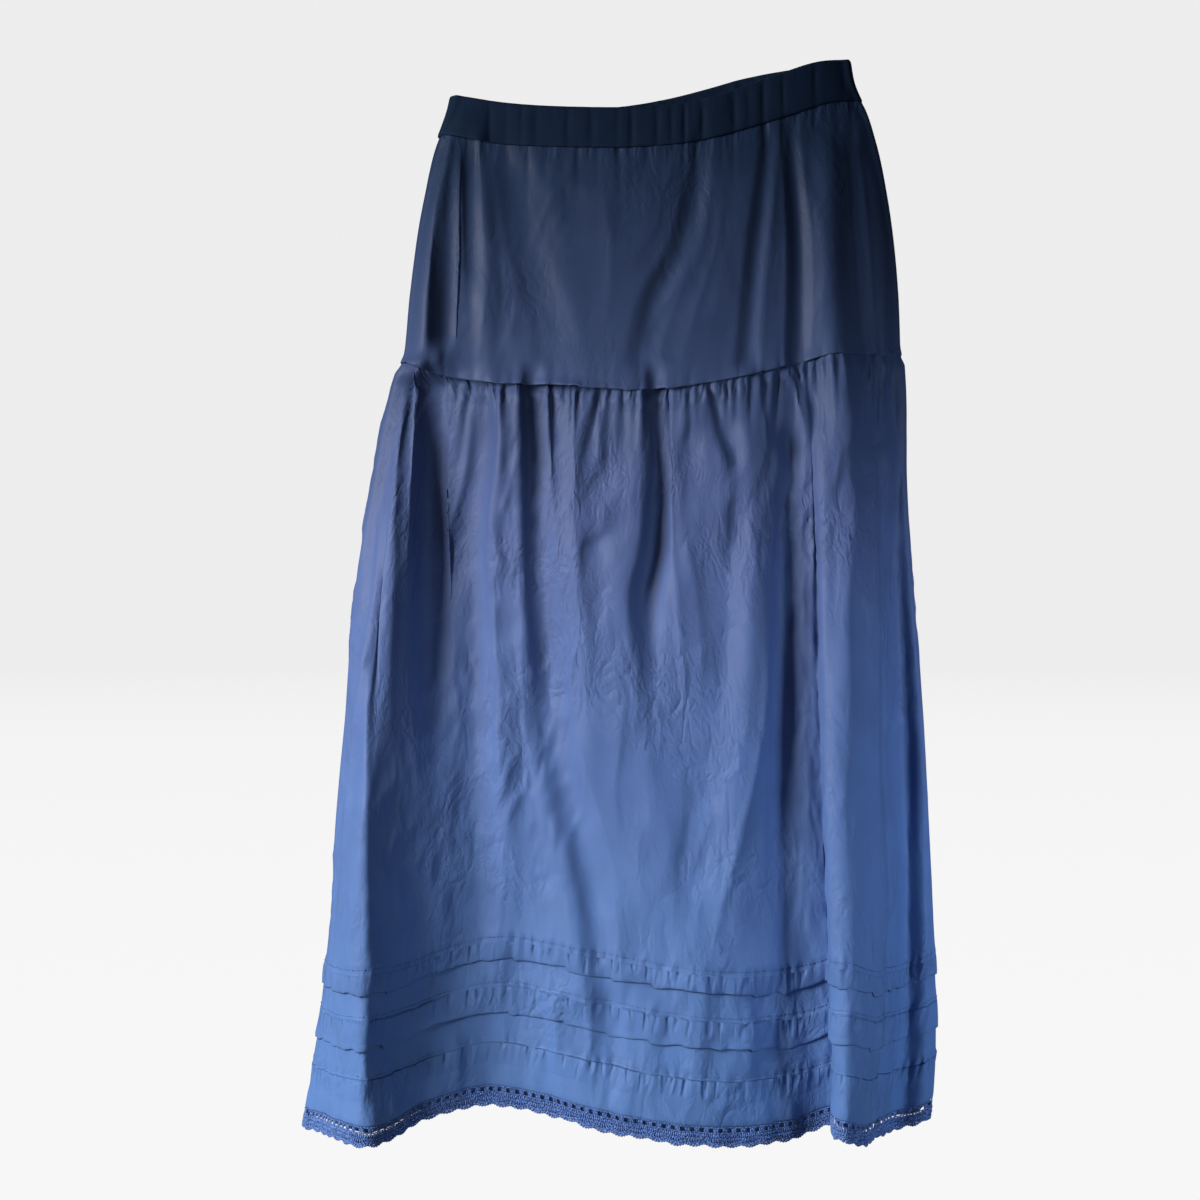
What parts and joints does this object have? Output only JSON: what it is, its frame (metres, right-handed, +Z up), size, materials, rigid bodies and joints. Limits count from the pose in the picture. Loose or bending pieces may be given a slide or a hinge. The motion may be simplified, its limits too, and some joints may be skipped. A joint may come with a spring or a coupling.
{
  "type": "midi skirt",
  "caption": "Gathered midi skirt with an elastic waistband, hip yoke, tucked lower tier and scalloped lace edging, hung open by its waist.",
  "frame": {"origin": "middle of the waist opening, where a wearer's waist or a hanger's clips hold the skirt", "axes": "+Z up towards the waistband, -Y out of the front, +X to the right as the front is looked at"},
  "size_m": [0.5436, 0.2268, 0.9129],
  "materials": {
    "waistband": "dark navy ribbed cloth over elastic, softly wrinkled",
    "cloth": "lightweight crinkled cloth with a soft sheen, navy at the hips to mid blue at the hem",
    "lace": "matt blue crochet lace"
  },
  "bodies": {
    "root": {"waistband_front": "waistband", "waistband_back": "waistband", "yoke_front": "cloth", "yoke_back": "cloth", "tier_front": "cloth", "tier_back": "cloth", "lace_front": "lace", "lace_back": "lace"}
  },
  "joints": []
}
